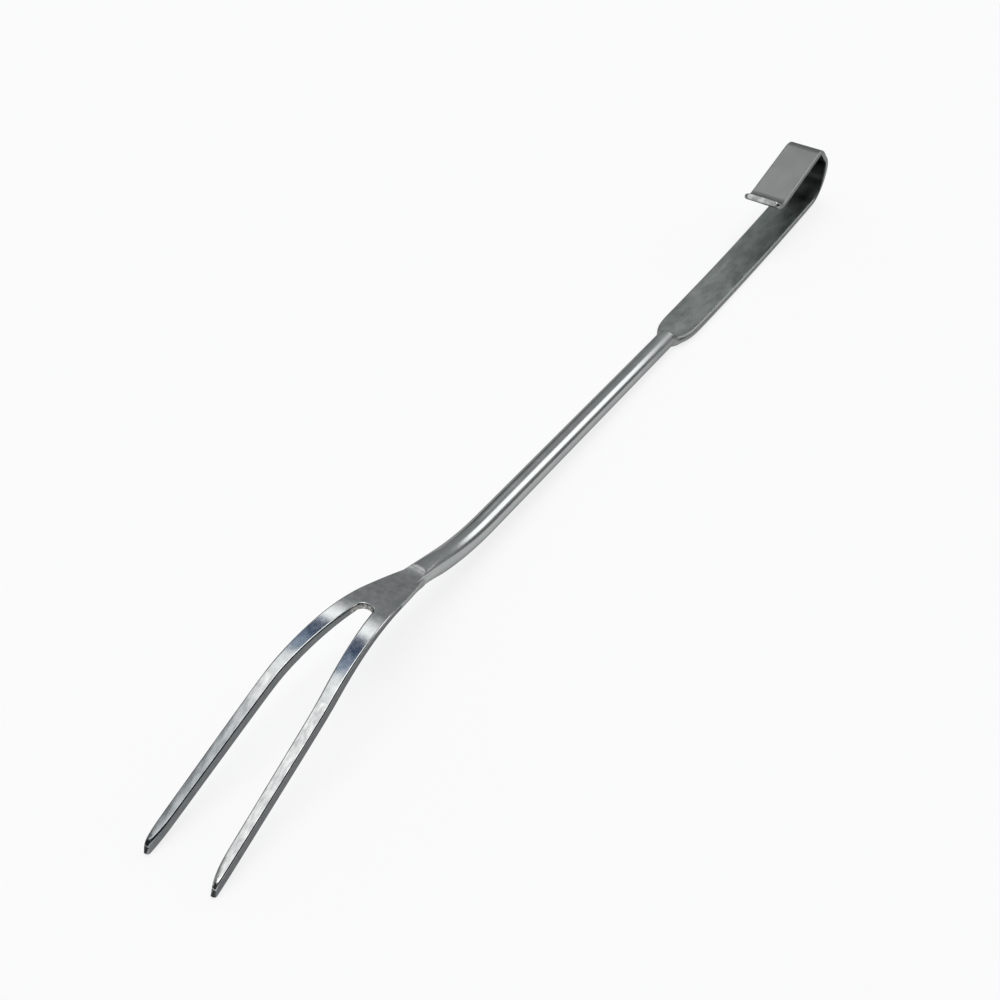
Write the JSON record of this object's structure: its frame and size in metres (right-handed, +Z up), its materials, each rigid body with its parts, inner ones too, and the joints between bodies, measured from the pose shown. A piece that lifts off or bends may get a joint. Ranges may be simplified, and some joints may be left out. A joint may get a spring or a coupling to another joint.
{
  "type": "flesh fork",
  "caption": "Long-handled flesh fork forged from round steel bar: flat pressed handle bent over into a hanging hook, cranked neck, pressed and split crown, straight pointed tines.",
  "frame": {"origin": "on the table under the middle of the fork's length, as it lies at rest on its tips and on the end of the round bar", "axes": "+X along the fork from the tines to the hook, +Y across it to the holder's right tine, +Z up, hook side up"},
  "size_m": [0.479, 0.0252, 0.0349],
  "materials": {
    "bar_steel": "polished stainless steel",
    "head_steel": "finely ground stainless steel"
  },
  "bodies": {
    "root": {"hook_arm": "bar_steel", "hanging_hook": "bar_steel", "handle": "bar_steel", "shank": "bar_steel", "neck": "bar_steel", "fork_crown": "head_steel", "left_tine": "head_steel", "right_tine": "head_steel"}
  },
  "joints": []
}
